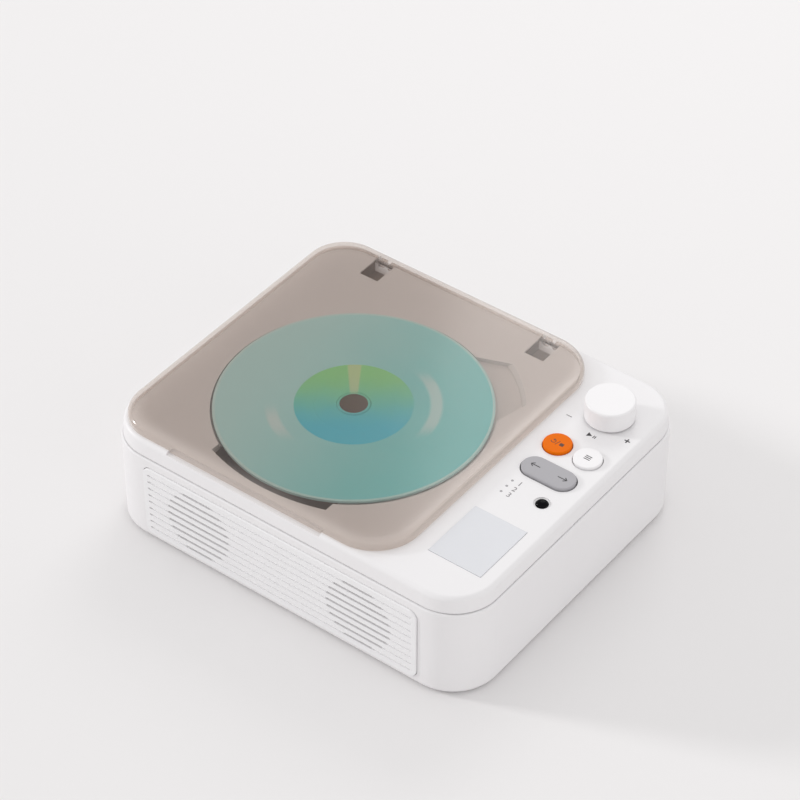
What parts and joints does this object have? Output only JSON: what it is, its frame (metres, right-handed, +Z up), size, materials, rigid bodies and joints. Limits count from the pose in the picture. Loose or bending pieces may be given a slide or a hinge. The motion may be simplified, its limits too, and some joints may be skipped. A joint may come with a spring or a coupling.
{
  "type": "compact disc player",
  "caption": "Compact disc player in a low rounded white housing, with a smoked hinged lid over the disc, a slatted speaker front and a side strip of controls.",
  "frame": {"origin": "under the middle of the whole outline, on the plane that the rubber feet stand on", "axes": "+X left to right along the speaker front, +Y from the speaker front to the back, +Z up through the lid"},
  "size_m": [0.192, 0.1628, 0.0643],
  "materials": {
    "shell_white": "satin",
    "grille_white": "satin",
    "knob_white": "satin",
    "button_orange": "satin",
    "rocker_grey": "satin",
    "lid_smoke": "polished, see-through",
    "disc_teal": "polished",
    "hub_brown": "satin",
    "platter_grey": "satin",
    "mechanism_black": "satin",
    "gear_white": "satin",
    "steel": "satin",
    "motor_can": "satin",
    "magnet_grey": "dull",
    "cone_black": "matt",
    "rubber_black": "matt",
    "foot_rubber": "matt",
    "board_green": "satin",
    "battery_blue": "satin",
    "clear_plastic": "clear",
    "ir_dark": "polished",
    "plate_silver": "satin",
    "lens_glass": "polished"
  },
  "bodies": {
    "player": {"lower_housing": "shell_white", "top_cover": "shell_white", "front_grille": "grille_white", "hinge_pin_left": "steel", "hinge_pin_right": "steel", "speaker_frame_left": "mechanism_black", "speaker_frame_right": "mechanism_black", "speaker_cone_left": "cone_black", "speaker_cone_right": "cone_black", "speaker_surround_left": "rubber_black", "speaker_surround_right": "rubber_black", "speaker_magnet_left": "magnet_grey", "speaker_magnet_right": "magnet_grey", "speaker_screws": "steel", "spindle_motor": "motor_can", "mechanism_chassis": "mechanism_black", "main_guide_rod": "steel", "side_guide_rod": "steel", "rubber_isolators": "rubber_black", "chassis_screws": "steel", "sled_motor": "motor_can", "volume_encoder": "mechanism_black", "rocker_pin": "steel", "control_board": "board_green", "tact_switches": "mechanism_black", "ir_window": "ir_dark", "ir_receiver": "mechanism_black", "light_pipes": "clear_plastic", "status_leds": "clear_plastic", "trim_plate": "plate_silver", "board_screws": "steel", "main_board": "board_green", "usb_socket": "steel", "charge_socket": "steel", "audio_jack": "mechanism_black", "battery_pack": "battery_blue", "rubber_feet": "foot_rubber", "case_screws": "steel"},
    "lid": {"lid": "lid_smoke"},
    "disc": {"disc": "disc_teal", "turntable": "platter_grey", "spindle_cap": "hub_brown", "spindle_shaft": "steel"},
    "sled": {"pickup_sled": "mechanism_black", "objective_lens": "lens_glass", "sled_rack": "gear_white"},
    "drive_gear": {"drive_gear": "gear_white"},
    "motor_pinion": {"motor_pinion": "gear_white"},
    "encoder_rotor": {"encoder_rotor": "mechanism_black"},
    "knob": {"volume_knob": "knob_white", "encoder_shaft": "steel"},
    "power_button": {"power_button": "button_orange"},
    "mode_button": {"mode_button": "knob_white"},
    "rocker": {"skip_rocker": "rocker_grey"}
  },
  "joints": [
    {"name": "lid_hinge", "type": "hinge", "parent": "player", "child": "lid", "pos_m": [-0.0195, 0.0777, 0.0521], "axis": [-1, 0, 0], "range_deg": [0, 95]},
    {"name": "disc_spin", "type": "hinge", "parent": "player", "child": "disc", "pos_m": [-0.016, -0.0082, 0.0552], "axis": [0, 0, 1], "continuous": true},
    {"name": "sled_slide", "type": "slide", "parent": "player", "child": "sled", "axis": [-1, 0, 0], "range_m": [0, 0.031]},
    {"name": "drive_gear_spin", "type": "hinge", "parent": "player", "child": "drive_gear", "pos_m": [-0.046, 0.02126, 0.041], "axis": [0, 0, 1], "range_deg": [-445, 0]},
    {"name": "motor_pinion_spin", "type": "hinge", "parent": "player", "child": "motor_pinion", "pos_m": [-0.03716, 0.0318, 0.0373], "axis": [0, 0, 1], "range_deg": [0, 1444]},
    {"name": "volume_turn", "type": "hinge", "parent": "player", "child": "encoder_rotor", "pos_m": [0.0744, 0.0514, 0.0543], "axis": [0, 0, 1], "continuous": true},
    {"name": "knob_press", "type": "slide", "parent": "encoder_rotor", "child": "knob", "axis": [0, 0, -1], "range_m": [0, 0.0006], "stiffness_N_per_m": 900},
    {"name": "power_press", "type": "slide", "parent": "player", "child": "power_button", "axis": [0, 0, -1], "range_m": [0, 0.0006], "stiffness_N_per_m": 600},
    {"name": "mode_press", "type": "slide", "parent": "player", "child": "mode_button", "axis": [0, 0, -1], "range_m": [0, 0.0006], "stiffness_N_per_m": 600},
    {"name": "skip_rock", "type": "hinge", "parent": "player", "child": "rocker", "pos_m": [0.0744, 0.0066, 0.0499], "axis": [0, 1, 0], "range_deg": [-2.5, 2.5], "stiffness_Nm_per_rad": 0.2}
  ],
  "couplings": [
    {"joint": "drive_gear_spin", "follows": "sled_slide", "rad_per_m": -250},
    {"joint": "motor_pinion_spin", "follows": "sled_slide", "rad_per_m": 812.5}
  ]
}
